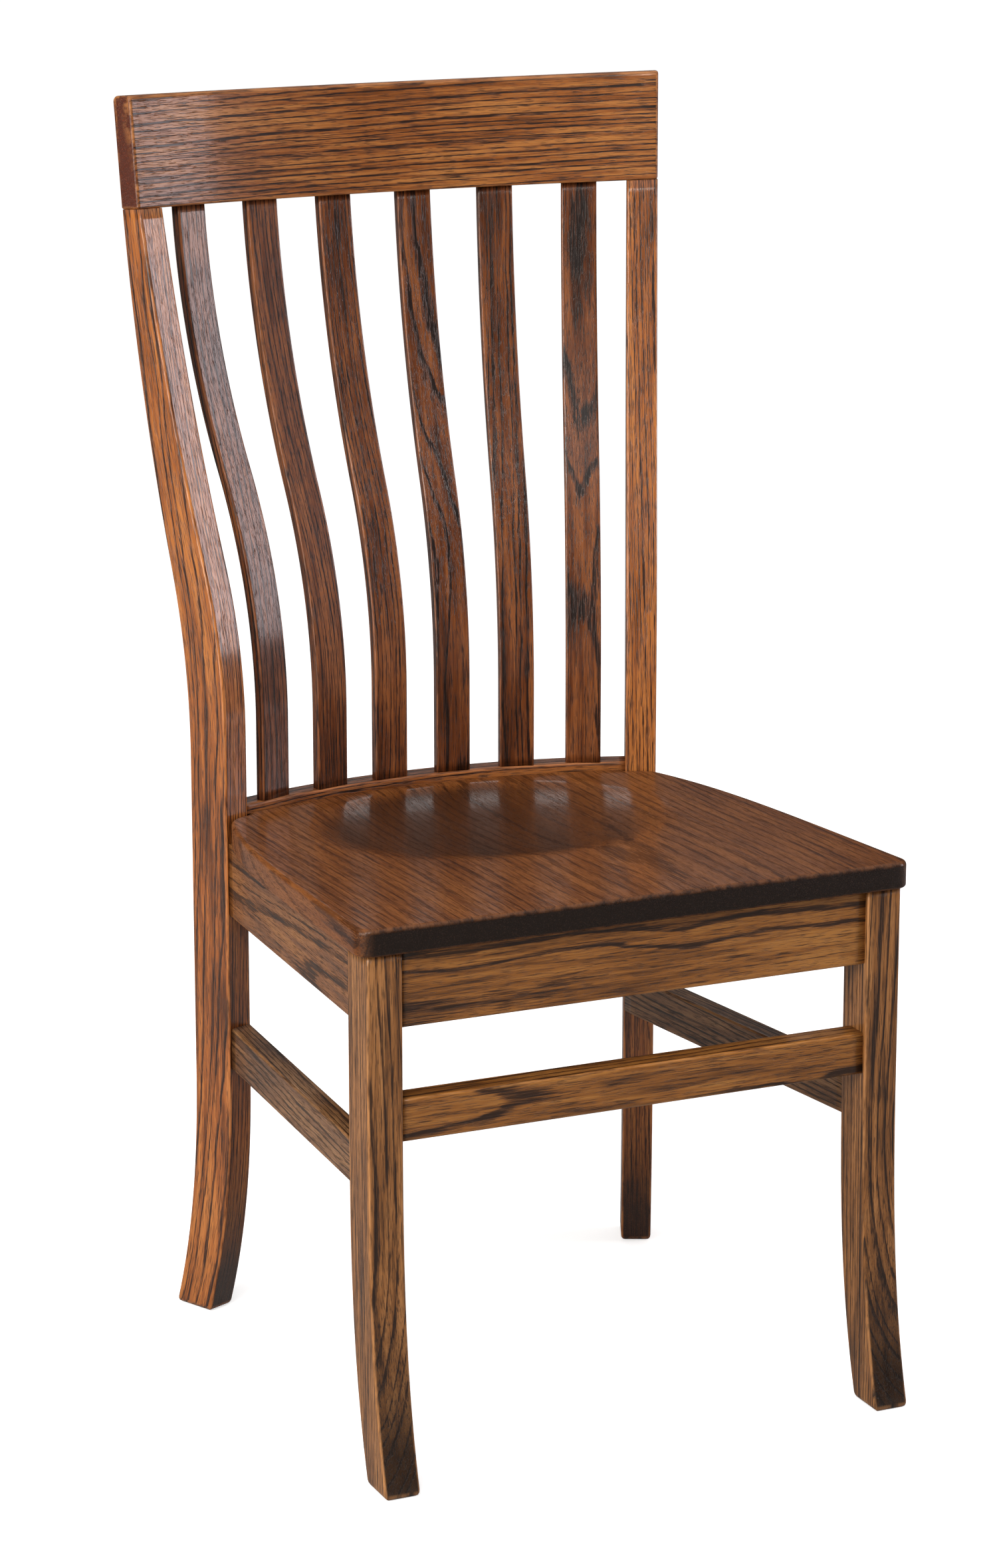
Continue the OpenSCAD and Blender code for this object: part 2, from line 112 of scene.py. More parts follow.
# Rear rail
RAIL_TOP = 454.0
RAIL_H = 80.0
RAIL_T = 22.0
RAIL_R = 515.0
RAIL_CY = 167.0 - RAIL_R
SEAT_GAP = 1.5                  # seat to rear rail
POST_GAP = 2.0                  # seat to posts

# Crest rail
CREST_Y = 261.0
CREST_Z = 946.0
CREST_H = 93.0
CREST_R = 500.0
CREST_T = 21.0
CREST_TILT = math.radians(5.6)

# Aprons and stretchers
APRON_FRONT = LEG_FRONT + 4.0
APRON_Z = 375.0
APRON_T = 20.0
SIDE_X = 226.4
SIDE_TURN = math.radians(4.7)
SIDE_APRON_Z = 372.0
FRONT_STR_Z = (282.0, 317.0)
FRONT_STR_T = 23.5
SIDE_STR_Z = (236.0, 272.5)
SIDE_STR_T = 20.0

# Worked edges
ARRIS = 2.2
FULL_ARRIS = 2.6
SEAM_ARRIS = 0.5                # edges that lie against the seat
SLAT_ARRIS = 1.7
FOOT_ROUND = 5.5
CREST_END_ROUND = 2.5

# How fast a tree narrows, which draws arches on boards sawn along it
TRUNK_TAPER = 0.02

# How dark an open pore is against the wood's darkest tone, and the hollow's painted shade
# against the wood's middle tone
PORE_SHADE = 0.22
HOLLOW_PAINTED_SHADE = 0.30

# Studio: the sky's height where it starts to brighten, its brightness below that and
# overhead, the floor's own glow, and how much light it sends back up
SKY_FROM = 0.4
SKY_LOW = 0.04
SKY_TOP = 1.0
FLOOR_GLOW = 0.6
FLOOR_RETURN = 0.33
FLOOR_REACH = 40.0              # metres from the middle to each side


# ------------------------------------------------------------------ shapes

def seat_top(y):
    """Height of the seat's flat top."""
    return SEAT_H - (y - SEAT_FRONT) * math.tan(SEAT_FALL)


def seat_under(y):
    """Height of the seat's underside."""
    return seat_top(y) - SEAT_T / math.cos(SEAT_FALL)


def crest_under(y):
    """Height of the crest rail's tilted underside."""
    return CREST_Z - (y - CREST_Y) * math.tan(CREST_TILT)


def bend(z, z0, a1, z1, a2):
    """A bent blank: straight to z0, an arc that leans a1 at z1, then back to a2 at the top."""
    a1, a2 = math.radians(a1), math.radians(a2)
    r1 = (z1 - z0) / math.sin(a1)
    r2 = (BLANK_TOP - z1) / (math.sin(a1) - math.sin(a2))
    low = r1 - np.sqrt(r1 * r1 - np.clip(z - z0, 0, z1 - z0) ** 2)
    q = math.sin(a1) - np.clip(z - z1, 0, None) / r2
    return low + r2 * (np.sqrt(1 - q * q) - math.cos(a1))


def foot(z, sweep, height, power):
    """Sweep of a foot, largest on the floor and zero at the given height."""
    return sweep * np.clip(1 - z / height, 0, 1) ** power


def foot_shade(z, sweep, height, power):
    """How much painted shade a swept foot gets, growing with its slope."""
    slope = sweep * power / height * np.clip(1 - z / height, 0, 1) ** (power - 1)
    return FOOT_SHADE_MOST * np.clip((slope - FOOT_SHADE_FROM) / FOOT_SHADE_OVER, 0, 1)


def post_front(z):
    return foot(z, POST_SWEEP[0], POST_SWEEP_H, POST_SWEEP_POWER) + bend(z, *POST_FRONT_BEND)


def post_back(z):
    return POST_D + foot(z, POST_SWEEP[1], POST_SWEEP_H, POST_SWEEP_POWER) + bend(z, *POST_BACK_BEND)


def to_post(p):
    """Coordinates in the right post's frame: across (0 at the outer face) and depth."""
    c, s = math.cos(POST_TURN), math.sin(POST_TURN)
    x, y = np.abs(p[:, 0]) - POST_X, p[:, 1] - POST_Y
    return c * x - s * y, s * x + c * y


def section(radii, inset, seg=5, lead=0.5):
    """A rounded rectangle's corners, from low/low counter-clockwise. Each point is a side
    (0 low, 1 high) and an offset in both directions, then a weight that peaks on the rounded
    edge and how squarely the point faces along the second direction."""
    rows = []
    for (u, v, start), radius in zip(((0, 0, 180), (1, 0, 270), (1, 1, 0), (0, 1, 90)), radii):
        r = max(radius - inset, 0.15)
        au = (inset + r) * (1 - 2 * u)
        av = (inset + r) * (1 - 2 * v)
        for k in range(-1, seg + 2):
            t = math.radians(start + 90 * min(max(k, 0), seg) / seg)
            run = lead * ((k < 0) - (k > seg))
            ou = au + r * math.cos(t) + run * math.sin(t)
            ov = av + r * math.sin(t) - run * math.cos(t)
            weight = math.sin(math.pi * min(max(k, 0), seg) / seg)
            rows.append((u, ou, v, ov, weight, math.sin(t) ** 2))
    return np.array(rows).T


def solve(reach, low, high):
    """Bisects reach(s), which rises through zero between low and high, for every point."""
    lo, hi = low, high
    for _ in range(40):
        mid = (lo + hi) / 2
        over = reach(mid) > 0
        lo, hi = np.where(over, lo, mid), np.where(over, mid, hi)
    return (lo + hi) / 2


def make_mesh(name, co, faces, attributes, material):
    """A mesh object from points in millimetres, with outward normals: smooth quads, flat ends."""
    mesh = bpy.data.meshes.new(name)
    mesh.from_pydata((co * MM).tolist(), [], faces)
    for label, values in attributes.items():
        values = np.asarray(values, np.float32)
        vector = values.ndim == 2
        layer = mesh.attributes.new(label, "FLOAT_VECTOR" if vector else "FLOAT", "POINT")
        layer.data.foreach_set("vector" if vector else "value", values.ravel())
    mesh.update()
    if sum(p.area * p.normal.dot(p.center) for p in mesh.polygons) < 0:
        mesh.flip_normals()
    mesh.shade_smooth()
    for p in mesh.polygons:
        p.use_smooth = len(p.vertices) == 4
    mesh.materials.append(material)
    piece = bpy.data.objects.new(name, mesh)
    bpy.context.scene.collection.objects.link(piece)
    return piece


def ring_faces(count, size):
    """Quads between rings, and a face on each end."""
    faces = [(i * size + j, i * size + (j + 1) % size,
              (i + 1) * size + (j + 1) % size, (i + 1) * size + j)
             for i in range(count - 1) for j in range(size)]
    last = (count - 1) * size
    return faces + [tuple(reversed(range(size))), tuple(range(last, last + size))]


def grain_shift(seed):
    """Where along the tree a piece was cut, in metres."""
    return np.array((np.random.default_rng(seed).uniform(0, 40), 0.0, 0.0))


def end_round(radius, seg=4):
    """Stations of a rounded end, cap first: distance from the end, inset, and how squarely
    the surface faces along the bar."""
    if not radius:
        return [(0.0, 0.0, 0.0)]
    turns = [math.radians(90 * k / seg) for k in range(seg + 1)]
    return [(radius * (1 - math.cos(t)), radius * (1 - math.sin(t)), math.cos(t)) for t in turns]


def bar(name, node, material, seed, limits, place, ends, bracket, steps,
        pith, radii=(ARRIS,) * 4, rounds=(0.0, 0.0), mirror=False, run_out=None, foot_shade_of=None):
    """A worked bar with rounded arrises.

    limits(s) gives the section's sides at s, place(s, u, v) puts a point in the frame, and
    ends are two functions of placed points that rise through zero where the bar ends, which
    is somewhere within bracket. steps is the number of sections between the rounded ends.
    radii are the arrises' and rounds the two ends', and mirror makes the left-hand piece.
    pith is where the heart of the tree lay, from the middle of the section, run_out(s) is how
    far a curved face strays across the grain, and foot_shade_of(s) how much painted shade the
    front and back of a swept foot get, laid on with the end-grain colour."""
    middle = sum(bracket) / 2
    sides = [float(np.mean(side)) for side in limits(np.array([middle]))]
    heart = ((sides[0] + sides[1]) / 2 + pith[0], (sides[2] + sides[3]) / 2 + pith[1])

    def points(s, shape):
        u0, u1, v0, v1 = limits(s)
        u = u0 + (u1 - u0) * shape[0] + shape[1]
        v = v0 + (v1 - v0) * shape[2] + shape[3]
        return place(s, u, v), u, v

    def end_at(side, shape):
        low, high = ((bracket[0], middle), (middle, bracket[1]))[side]
        count = len(shape[0])
        return solve(lambda s: ends[side](points(s, shape)[0]), np.full(count, low), np.full(count, high))

    rings, grain, arris, end_grain_and_foot_shade = [], [], [], []

    def add(s, shape, steep):
        placed, u, v = points(s, shape)
        rings.append(placed)
        stray = 0 if run_out is None else run_out(s)
        grain.append(np.column_stack([s, u - heart[0], v - heart[1] - stray]))
        arris.append(np.maximum(shape[4], 2 * steep * math.sqrt(1 - steep * steep)))
        # Painted shade on the front and back of a swept foot, laid on with the end grain.
        foot_shade_here = 0 if foot_shade_of is None else foot_shade_of(s) * shape[5]
        end_grain_and_foot_shade.append(np.maximum(np.full(len(s), steep * steep), foot_shade_here))

    full = section(radii, 0.0)
    start = end_at(0, full) + rounds[0]
    stop = end_at(1, full) - rounds[1]
    for along, inset, steep in end_round(rounds[0])[:-1]:
        shape = section(radii, inset)
        add(end_at(0, shape) + along, shape, steep)
    for t in np.linspace(0, 1, steps):
        add(start + (stop - start) * t, full, 0.0)
    for along, inset, steep in end_round(rounds[1])[-2::-1]:
        shape = section(radii, inset)
        add(end_at(1, shape) - along, shape, steep)

    co = np.concatenate(rings) * ((-1, 1, 1) if mirror else (1, 1, 1))
    attributes = {
        "grain": np.concatenate(grain) * MM + grain_shift(seed),
        "arris": np.concatenate(arris),
        "end_grain_and_foot_shade": np.concatenate(end_grain_and_foot_shade),
    }
    piece = make_mesh(name, co, ring_faces(len(rings), len(rings[0])), attributes, material)
    finish_piece(piece, node)
    return piece


def finish_piece(piece, node):
    """Puts a piece on the root body and hides the CAD node it stands in for."""
    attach(piece, "root")
    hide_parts(node)


# ------------------------------------------------------------------ pieces

def to_floor(p):
    return p[:, 2]


def to_crest(p):
    return p[:, 2] - crest_under(p[:, 1])


def to_seat(p):
    return p[:, 2] - seat_under(p[:, 1])


def turned(u, v, angle, x, y, z):
    """Places local (u, v) at height z in a frame at (x, y), turned clockwise by angle."""
    c, s = math.cos(angle), math.sin(angle)
    return np.column_stack([x + c * u + s * v, y - s * u + c * v, z])


def rear_posts(material):
    def lean(z):
        return (post_front(z) + post_back(z) - POST_D) / 2

    for side, mirror, seed in (("left", True, 11), ("right", False, 12)):
        bar(f"{side}_rear_post_wood", f"{side}_rear_post", material, seed,
            limits=lambda z: (-POST_W, 0.0, post_front(z), post_back(z)),
            place=lambda z, u, v: turned(u, v, POST_TURN, POST_X, POST_Y, z),
            ends=(to_floor, to_crest), bracket=(-20.0, 990.0), steps=90, pith=(-70, -30),
            rounds=(FOOT_ROUND, 0.0), mirror=mirror, run_out=lean,
            foot_shade_of=lambda z: foot_shade(z, POST_SWEEP[0], POST_SWEEP_H, POST_SWEEP_POWER))


def front_legs(material):
    def front(z):
        return LEG_FRONT - foot(z, LEG_SWEEP[0], LEG_SWEEP_H, LEG_SWEEP_POWER)

    def back(z):
        return LEG_BACK - foot(z, LEG_SWEEP[1], LEG_SWEEP_H, LEG_SWEEP_POWER)

    for side, mirror, seed in (("left", True, 21), ("right", False, 22)):
        bar(f"{side}_front_leg_wood", f"{side}_front_leg", material, seed,
            limits=lambda z: (LEG_X - LEG_W, LEG_X, front(z), back(z)),
            place=lambda z, u, v: np.column_stack([u, v, z]),
            ends=(to_floor, to_seat), bracket=(-20.0, 470.0), steps=50, pith=(40, 60),
            rounds=(FOOT_ROUND, 0.0), mirror=mirror,
            foot_shade_of=lambda z: foot_shade(z, LEG_SWEEP[0], LEG_SWEEP_H, LEG_SWEEP_POWER))


def slat_names():
    """Slat nodes from left to right, each with its pair and whether it is on the left."""
    return [(f"back_slat_{3 - i}", i, True) for i in range(3)] \
        + [(f"back_slat_{4 + i}", i, False) for i in range(3)]


def back_slats(material):
    for node, pair, mirror in slat_names():
        x, turn, curve = SLATS[pair]
        base_y = RAIL_CY + math.sqrt(RAIL_R ** 2 - x ** 2) + SLAT_SETBACK
        angle = math.radians(turn)

        def front(z, curve=curve):
            return bend(z, *curve)

        bar(f"{node}_wood", node, material, 30 + int(node[-1]),
            limits=lambda z: (-SLAT_W / 2, SLAT_W / 2, front(z), front(z) + SLAT_T),
            place=lambda z, u, v: turned(u, v, angle, x, base_y, z),
            ends=(lambda p: p[:, 2] - RAIL_TOP, to_crest), bracket=(430.0, 990.0), steps=60,
            pith=SLAT_PITH[int(node[-1]) - 1], radii=(SLAT_ARRIS,) * 4, mirror=mirror,
            run_out=lambda z: front(z) * SLAT_RUN_OUT)


def rear_rail(material):
    def place(s, u, v):
        r = RAIL_R + u
        return np.column_stack([r * np.sin(s / RAIL_R), RAIL_CY + r * np.cos(s / RAIL_R), v])

    def beyond_post(p):
        return (to_post(p)[0] + POST_W) * np.sign(p[:, 0])

    bar("rear_rail_wood", "rear_rail", material, 41,
        limits=lambda s: (0.0, RAIL_T, RAIL_TOP - RAIL_H, RAIL_TOP), place=place,
        ends=(beyond_post, beyond_post), bracket=(-240.0, 240.0), steps=61,
        pith=(30, 90), radii=(ARRIS, ARRIS, ARRIS, FULL_ARRIS))


def crest_rail(material):
    c, s = math.cos(CREST_TILT), math.sin(CREST_TILT)

    def place(a, u, v):
        r = CREST_R + u
        x, back = r * np.sin(a / CREST_R), r * np.cos(a / CREST_R) - CREST_R
        return np.column_stack([x, CREST_Y + back * c + v * s, CREST_Z - back * s + v * c])

    def beyond_post(p):
        return to_post(p)[0] * np.sign(p[:, 0])

    bar("crest_rail_wood", "crest_rail", material, 51,
        limits=lambda a: (0.0, CREST_T, 0.0, CREST_H), place=place,
        ends=(beyond_post, beyond_post), bracket=(-300.0, 300.0), steps=81,
        pith=(45, 95), radii=(1.8, 2.0, 5.0, 4.0), rounds=(CREST_END_ROUND, CREST_END_ROUND))


def side_bars(apron, stretcher):
    turn_c, turn_s = math.cos(SIDE_TURN), math.sin(SIDE_TURN)
    fall_c, fall_s = math.cos(SEAT_FALL), math.sin(SEAT_FALL)

    def place(s, u, v):
        along, z = s * fall_c + v * fall_s, v * fall_c - s * fall_s
        return np.column_stack([SIDE_X + u * turn_c - along * turn_s,
                                LEG_BACK + u * turn_s + along * turn_c, z])

    def behind_leg(p):
        return p[:, 1] - LEG_BACK

    def at_post(p):
        return to_post(p)[1] - post_front(p[:, 2])

    top = seat_under(LEG_BACK)
    for side, mirror, seed in (("left", True, 61), ("right", False, 62)):
        bar(f"{side}_side_apron_wood", f"{side}_side_apron", apron, seed,
            limits=lambda s: (-APRON_T, 0.0, SIDE_APRON_Z, top * fall_c), place=place,
            ends=(behind_leg, at_post), bracket=(-30.0, 400.0), steps=30,
            pith=(-55, -20), radii=(ARRIS, ARRIS, SEAM_ARRIS, SEAM_ARRIS), mirror=mirror)
        bar(f"{side}_side_stretcher_wood", f"{side}_side_stretcher", stretcher, seed + 2,
            limits=lambda s: (-SIDE_STR_T, 0.0, *SIDE_STR_Z), place=place,
            ends=(behind_leg, at_post), bracket=(-30.0, 400.0), steps=30, pith=(-60, 50),
            mirror=mirror)


def front_bars(apron, stretcher):
    end = LEG_X - LEG_W

    def place(s, u, v):
        return np.column_stack([s, u, v])

    ends = (lambda p: p[:, 0] + end, lambda p: p[:, 0] - end)
    apron_back = APRON_FRONT + APRON_T
    bar("front_apron_wood", "front_apron", apron, 71,
        limits=lambda s: (APRON_FRONT, apron_back, APRON_Z, seat_under(apron_back)),
        place=place, ends=ends, bracket=(-220.0, 220.0), steps=40, pith=(48, -8),
        radii=(ARRIS, ARRIS, SEAM_ARRIS, SEAM_ARRIS))
    bar("front_stretcher_wood", "front_stretcher", stretcher, 72,
        limits=lambda s: (APRON_FRONT, APRON_FRONT + FRONT_STR_T, *FRONT_STR_Z),
        place=place, ends=ends, bracket=(-220.0, 220.0), steps=40, pith=(50, 18),
        radii=(FULL_ARRIS, FULL_ARRIS, ARRIS, FULL_ARRIS))


# ------------------------------------------------------------------ seat

def seat_half_outline():
    """Right half of the seat from the middle of the front edge round to the middle of the back."""
    cos, tan = math.cos(POST_TURN), math.tan(POST_TURN)
    y_end = POST_Y + (POST_X - SEAT_HALF_REAR) * tan - POST_GAP / cos
    length = y_end - SEAT_FRONT

    def side(y):
        t = (y - SEAT_FRONT) / length
        return SEAT_HALF_FRONT - (SEAT_HALF_FRONT - SEAT_HALF_REAR) * (t + t ** 5) / 2

    r = SEAT_CORNER_R
    front_x = side(SEAT_FRONT + r) - r
    points = [(x, SEAT_FRONT) for x in np.linspace(0, front_x, 24)[:-1]]
    for k in range(11):
        t = math.radians(-90 + 90 * k / 10)
        points.append((front_x + r * math.cos(t), SEAT_FRONT + r + r * math.sin(t)))

    corner = np.array((SEAT_HALF_REAR, y_end))
    points += [(side(y), y) for y in np.linspace(SEAT_FRONT + r, y_end - SEAT_REAR_EASE, 56)[1:]]
    before = np.array(points[-1])
    after = corner + SEAT_REAR_EASE * np.array((-cos, math.sin(POST_TURN)))
    for t in np.linspace(0, 1, 8)[1:]:
        points.append(tuple((1 - t) ** 2 * before + 2 * t * (1 - t) * corner + t * t * after))

    inner_x = POST_X - POST_W * cos
    points.append((inner_x - 1.0, corner[1] + (corner[0] - inner_x + 1.0) * tan))
    arc_r = RAIL_R - SEAT_GAP
    half = math.asin((inner_x - 2.5) / arc_r)
    points += [(arc_r * math.sin(a), RAIL_CY + arc_r * math.cos(a)) for a in np.linspace(half, 0, 36)]
    return points


def scoop_radius(x, y):
    """0 in the middle of the hollow, 1 on its rim."""
    return np.sqrt((x / SCOOP_HALF[0]) ** 2 + ((y - SCOOP_Y) / SCOOP_HALF[1]) ** 2)


def seat_scoop(x, y):
    """Depth of the hollow: nearly flat inside, with a clear rim."""
    fall = SCOOP_DEPTH * (1 - np.minimum(scoop_radius(x, y), 1.2) ** SCOOP_POWER)
    return (fall + np.sqrt(fall ** 2 + SCOOP_EASE ** 2)) / 2


def seat_hollow_shade(co):
    """How much painted shade darkens the hollow: most on the left, least at the right."""
    inside = np.clip((PAINTED_SHADE_RIM - scoop_radius(co[:, 0], co[:, 1])) / PAINTED_SHADE_SOFT, 0, 1)
    soft_rim = inside * inside * (3 - 2 * inside)
    fade = np.clip(1.0 - (co[:, 0] - PAINTED_SHADE_FADE_X) / PAINTED_SHADE_FADE_W, PAINTED_SHADE_LEAST, 1)
    on_top = co[:, 2] > seat_under(co[:, 1]) + SEAT_T / 2
    return soft_rim * fade * on_top


def seat(material):
    """The plank as rings of its outline: under it, round both edges, then over the top."""
    half = seat_half_outline()
    outline = np.array(half[:-1] + [(-x, y) for x, y in reversed(half[1:])])
    step = np.roll(outline, -1, 0) - np.roll(outline, 1, 0)
    normal = np.column_stack([step[:, 1], -step[:, 0]]) / np.linalg.norm(step, axis=1)[:, None]
    centre = np.array(SEAT_MIDDLE)
    count = len(outline)
    rings, arris, end_grain_and_foot_shade = [], [], []

    def add(flat, z, edge, wall):
        rings.append(np.column_stack([flat, z]))
        arris.append(np.full(count, edge))
        end_grain_and_foot_shade.append(normal[:, 1] ** 2 * wall)

    low_in = outline - normal * SEAT_UNDER_ROUND
    for k in (0.02, 0.5, 0.9, 0.99):
        flat = centre + (low_in - centre) * k
        add(flat, seat_under(flat[:, 1]), 0.0, 0.0)
    for k in range(5):
        t = math.radians(90 * k / 4)
        flat = outline - normal * SEAT_UNDER_ROUND * (1 - math.sin(t))
        low = seat_under(flat[:, 1]) + SEAT_UNDER_ROUND * (1 - math.cos(t))
        add(flat, low, math.sin(2 * t), math.sin(t))
    add(outline, seat_under(outline[:, 1]) + SEAT_UNDER_ROUND + SEAT_LEAD, 0.0, 1.0)
    add(outline, seat_top(outline[:, 1]) - SEAT_ROUND - SEAT_LEAD, 0.0, 1.0)
    for k in range(7):
        t = math.radians(90 * k / 6)
        flat = outline - normal * SEAT_ROUND * (1 - math.cos(t))
        high = seat_top(flat[:, 1]) - SEAT_ROUND * (1 - math.sin(t))
        add(flat, high, math.sin(2 * t), math.cos(t))
    top_in = outline - normal * (SEAT_ROUND + SEAT_LEAD)
    for k in np.linspace(1, 0.015, 64):
        flat = centre + (top_in - centre) * k
        add(flat, seat_top(flat[:, 1]) - seat_scoop(flat[:, 0], flat[:, 1]), 0.0, 0.0)

    co = np.concatenate(rings)
    grain = (np.column_stack([co[:, 1], co[:, 0], co[:, 2]]) - SEAT_HEART) * MM + grain_shift(81)
    # The hollow attribute carries the painted shade in the seat's hollow.
    attributes = {"grain": grain, "arris": np.concatenate(arris), "end_grain_and_foot_shade": np.concatenate(end_grain_and_foot_shade),
                  "hollow": seat_hollow_shade(co)}
    piece = make_mesh("seat_wood", co, ring_faces(len(rings), count), attributes, material)
    finish_piece(piece, "seat")


# ------------------------------------------------------------------ materials

class Graph:
    """Short names for building a material's nodes."""

    def __init__(self, name):
        self.material = bpy.data.materials.new(name)
        self.material.use_nodes = True
        self.tree = self.material.node_tree
        self.tree.nodes.clear()

    def node(self, kind, inputs=None, **settings):
        made = self.tree.nodes.new(kind)
        for key, value in settings.items():
            setattr(made, key, value)
        for key, value in (inputs or {}).items():
            if isinstance(value, bpy.types.NodeSocket):
                self.tree.links.new(value, made.inputs[key])
            else:
                made.inputs[key].default_value = value
        return made

    def math(self, operation, *values, clamp=False):
        made = self.node("ShaderNodeMath", dict(enumerate(values)), operation=operation)
        made.use_clamp = clamp
        return made.outputs[0]

    def scale(self, vector, factors):
        made = self.node("ShaderNodeVectorMath", {0: vector, 1: factors}, operation="MULTIPLY")
        return made.outputs[0]

    def noise(self, vector, factors, detail=2.0, rough=0.5):
        inputs = {"Vector": self.scale(vector, factors), "Scale": 1.0, "Detail": detail,
                  "Roughness": rough}
        return self.node("ShaderNodeTexNoise", inputs).outputs["Fac"]

    def step(self, value, low, high):
        """0 below low, 1 above high, smooth between."""
        inputs = {"Value": value, "From Min": low, "From Max": high}
        return self.node("ShaderNodeMapRange", inputs, interpolation_type="SMOOTHSTEP").outputs[0]

    def mix(self, factor, a, b):
        made = self.node("ShaderNodeMix", data_type="RGBA")
        for socket, value in ((made.inputs[0], factor), (made.inputs[6], a), (made.inputs[7], b)):
            if isinstance(value, bpy.types.NodeSocket):
                self.tree.links.new(value, socket)
            else:
                socket.default_value = value
        return made.outputs[2]


def linear(rgb):
    """An sRGB colour in 0..255 as linear RGBA."""
    def channel(c):
        c /= 255
        return c / 12.92 if c <= 0.04045 else ((c + 0.055) / 1.055) ** 2.4
    return (*[channel(c) for c in rgb], 1.0)


def shade(colour, factor, lift=0.0):
    """A linear RGBA colour made darker or paler."""
    return (*[min(c * factor + lift, 1) for c in colour[:3]], 1.0)


def wood(name, dark, mid, light, end, bands=240.0, wander=0.012, early=1.0, patches=1.0,
         pores=0.92, roughness=0.33, gloss=0.35, coat=0.35, wear_and_highlight=0.55, object_space=False,
         hollow=False):
    """Stained oak that reads the grain from each piece's attributes.

    dark, mid, light and end are sRGB colours: the rings, the wood between, its palest tone and
    the end grain, whose colour also lays the painted shade on the swept feet. bands is the
    number of growth rings per metre, wander how far they stray, early the strength of the dark
    rings, patches that of the cloudy tone and pores that of the pores. gloss is the sheen of the
    wood under the varnish, coat the varnish itself and wear_and_highlight how pale the edges are
    from rubbed finish and painted highlight. object_space takes the place of the grain attribute
    on meshes without one, and hollow adds the painted shade in the seat's hollow."""
    g = Graph(name)
    if object_space:
        spot = g.node("ShaderNodeTexCoord").outputs["Object"]
    else:
        spot = g.node("ShaderNodeAttribute", attribute_name="grain").outputs["Vector"]

    # Growth rings: distance from a wandering pith, unevenly spaced, sharp on one side.
    stray = g.node("ShaderNodeTexNoise", {"Vector": g.scale(spot, (4.0, 14, 14)), "Scale": 1.0,
                                          "Detail": 3.0, "Roughness": 0.55}).outputs["Color"]
    stray = g.scale(stray, (0, wander, wander))
    bent = g.node("ShaderNodeVectorMath", {0: spot, 1: stray}, operation="ADD").outputs[0]
    radius = g.node("ShaderNodeVectorMath", {0: g.scale(bent, (0, 1, 1))},
                    operation="LENGTH").outputs["Value"]
    taper = g.node("ShaderNodeVectorMath", {0: spot, 1: (TRUNK_TAPER, 0, 0)},
                   operation="DOT_PRODUCT").outputs["Value"]
    radius = g.math("ADD", radius, taper)
    ring = g.math("MULTIPLY", radius, bands)
    uneven = g.node("ShaderNodeTexNoise", {"W": ring, "Scale": 0.4, "Detail": 2.0},
                    noise_dimensions="1D").outputs["Fac"]
    ring = g.math("FRACT", g.math("ADD", ring, g.math("MULTIPLY", uneven, 1.6)))
    band = g.math("MULTIPLY", g.step(ring, 0.0, 0.10), g.math("SUBTRACT", 1.0, g.step(ring, 0.12, 0.45)))

    # Dashes of open vessels, crowded in the dark rings and sparse between them.
    coarse = g.noise(spot, (28, 850, 850), 2.0, 0.6)
    fine = g.noise(spot, (70, 2000, 2000), 1.0, 0.5)
    streak = g.noise(spot, (9, 210, 210), 2.0, 0.5)
    patch = g.noise(spot, (5, 30, 30), 3.0, 0.6)
    limit = g.math("SUBTRACT", 0.61, g.math("MULTIPLY", band, 0.20))
    vessel = g.step(g.math("SUBTRACT", coarse, limit), 0.0, 0.07)
    speck = g.step(g.math("SUBTRACT", fine, g.math("SUBTRACT", 0.57, g.math("MULTIPLY", band, 0.10))),
                   0.0, 0.06)
    pore = g.math("MAXIMUM", vessel, g.math("MULTIPLY", speck, 0.8))

    tone = g.math("MULTIPLY", g.math("SUBTRACT", patch, 0.5), 1.7 * patches)
    tone = g.math("ADD", tone, g.math("MULTIPLY", g.math("SUBTRACT", streak, 0.5), 1.4))
    tone = g.math("ADD", tone, g.math("MULTIPLY", g.math("SUBTRACT", coarse, 0.5), -1.0))
    tone = g.math("SUBTRACT", tone, g.math("MULTIPLY", band, 0.42 * early))
    tone = g.math("ADD", tone, 0.62, clamp=True)
    ramp = g.node("ShaderNodeValToRGB", {"Fac": tone})
    stops = ramp.color_ramp.elements
    stops[0].position, stops[0].color = 0.08, linear(dark)
    stops[1].position, stops[1].color = 0.95, linear(light)
    stops.new(0.55).color = linear(mid)
    black = shade(linear(dark), PORE_SHADE)
    colour = ramp.outputs["Color"]
    if hollow:
        # Painted shade over the hollow, in soft patches.
        hollow_shade_amount = g.node("ShaderNodeAttribute", attribute_name="hollow").outputs["Fac"]
        hollow_shade_amount = g.math("MULTIPLY", hollow_shade_amount, g.math("ADD", 0.52, g.math("MULTIPLY", patch, 0.75)), clamp=True)
        colour = g.mix(hollow_shade_amount, colour, shade(linear(mid), HOLLOW_PAINTED_SHADE))
    colour = g.mix(g.math("MULTIPLY", pore, pores), colour, black)
    rough = g.math("ADD", roughness - 0.06, g.math("MULTIPLY", streak, 0.12))
    rough = g.math("ADD", rough, g.math("MULTIPLY", pore, 0.15))

    if not object_space:
        # End grain drinks more stain: darker, with the lighter mouths of the vessels. The same
        # colour lays the painted shade on the fronts and backs of the swept feet.
        end_grain_and_foot_shade = g.node("ShaderNodeAttribute", attribute_name="end_grain_and_foot_shade").outputs["Fac"]
        mouth = g.step(g.noise(spot, (900, 1100, 1100), 1.0, 0.5), 0.56, 0.68)
        end_and_foot_shade_colour = g.mix(mouth, linear(end), shade(linear(end), 2.4))
        colour = g.mix(end_grain_and_foot_shade, colour, end_and_foot_shade_colour)
